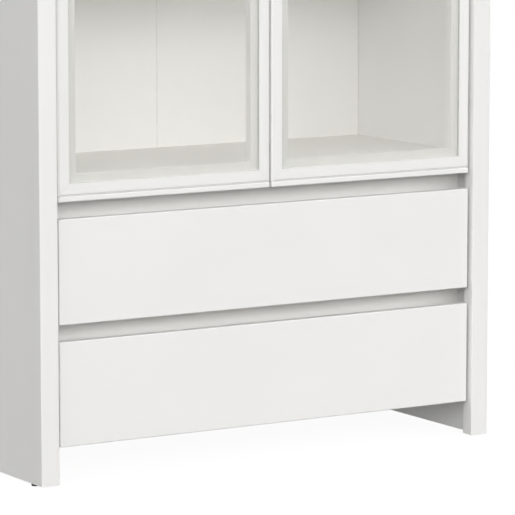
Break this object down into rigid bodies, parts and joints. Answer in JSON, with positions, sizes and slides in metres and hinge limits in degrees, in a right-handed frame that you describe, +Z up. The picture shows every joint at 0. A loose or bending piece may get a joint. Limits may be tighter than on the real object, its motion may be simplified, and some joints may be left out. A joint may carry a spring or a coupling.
{
  "type": "glass-door display cabinet",
  "caption": "Tall white display cabinet: two framed glass doors over a shelved space, full-width handle-less drawers below, thick side posts that run to the floor.",
  "frame": {"origin": "on the floor, at the middle of the bounding box", "axes": "+Z up; -Y is the front, where the doors and drawers are; +X is to the right of somebody in front of it"},
  "size_m": [0.9, 0.405, 2.005],
  "materials": {
    "white_board": "particle board faced and edged in smooth white melamine, satin",
    "white_frame": "fibreboard profile wrapped in smooth white foil, satin",
    "white_sheet": "thin hardboard, lacquered white on the side that shows",
    "clear_glass": "clear float glass with polished edges",
    "nickel_steel": "nickel-plated pressed steel",
    "white_steel": "white powder-coated sheet steel",
    "white_plastic": "white extruded plastic",
    "black_plastic": "black moulded plastic"
  },
  "bodies": {
    "carcass": {"back_joining_strip": "white_plastic", "base_panel": "white_board", "display_floor": "white_board", "left_back_sheet": "white_sheet", "left_front_glide": "black_plastic", "left_front_post": "white_board", "left_hinge_arm_1": "nickel_steel", "left_hinge_arm_2": "nickel_steel", "left_hinge_arm_3": "nickel_steel", "left_rear_glide": "black_plastic", "left_runner_liner": "white_board", "left_side_panel": "white_board", "lower_drawer_left_runner": "white_steel", "lower_drawer_right_runner": "white_steel", "lower_recess_rail": "white_board", "right_back_sheet": "white_sheet", "right_front_glide": "black_plastic", "right_front_post": "white_board", "right_hinge_arm_1": "nickel_steel", "right_hinge_arm_2": "nickel_steel", "right_hinge_arm_3": "nickel_steel", "right_rear_glide": "black_plastic", "right_runner_liner": "white_board", "right_side_panel": "white_board", "shelf_1": "white_board", "shelf_2": "white_board", "shelf_3": "white_board", "top_front_strip": "white_board", "top_panel": "white_board", "upper_drawer_left_runner": "white_steel", "upper_drawer_right_runner": "white_steel", "upper_recess_rail": "white_board"},
    "left_door": {"left_door_bottom_rail": "white_frame", "left_door_glass": "clear_glass", "left_door_grip_strip": "white_frame", "left_door_left_stile": "white_frame", "left_door_right_stile": "white_frame", "left_door_top_rail": "white_frame", "left_hinge_cup_1": "nickel_steel", "left_hinge_cup_2": "nickel_steel", "left_hinge_cup_3": "nickel_steel"},
    "right_door": {"right_door_bottom_rail": "white_frame", "right_door_glass": "clear_glass", "right_door_grip_strip": "white_frame", "right_door_left_stile": "white_frame", "right_door_right_stile": "white_frame", "right_door_top_rail": "white_frame", "right_hinge_cup_1": "nickel_steel", "right_hinge_cup_2": "nickel_steel", "right_hinge_cup_3": "nickel_steel"},
    "upper_drawer": {"upper_drawer_back": "white_board", "upper_drawer_bottom": "white_sheet", "upper_drawer_front": "white_board", "upper_drawer_left_side": "white_board", "upper_drawer_right_side": "white_board"},
    "lower_drawer": {"lower_drawer_back": "white_board", "lower_drawer_bottom": "white_sheet", "lower_drawer_front": "white_board", "lower_drawer_left_side": "white_board", "lower_drawer_right_side": "white_board"}
  },
  "joints": [
    {"name": "left_door_hinge", "type": "hinge", "parent": "carcass", "child": "left_door", "pos_m": [-0.405, -0.1945, 1.225], "axis": [0, 0, -1], "range_deg": [0, 105]},
    {"name": "right_door_hinge", "type": "hinge", "parent": "carcass", "child": "right_door", "pos_m": [0.405, -0.1945, 1.225], "axis": [0, 0, 1], "range_deg": [0, 105]},
    {"name": "upper_drawer_slide", "type": "slide", "parent": "carcass", "child": "upper_drawer", "axis": [0, -1, 0], "range_m": [0, 0.27]},
    {"name": "lower_drawer_slide", "type": "slide", "parent": "carcass", "child": "lower_drawer", "axis": [0, -1, 0], "range_m": [0, 0.27]}
  ]
}
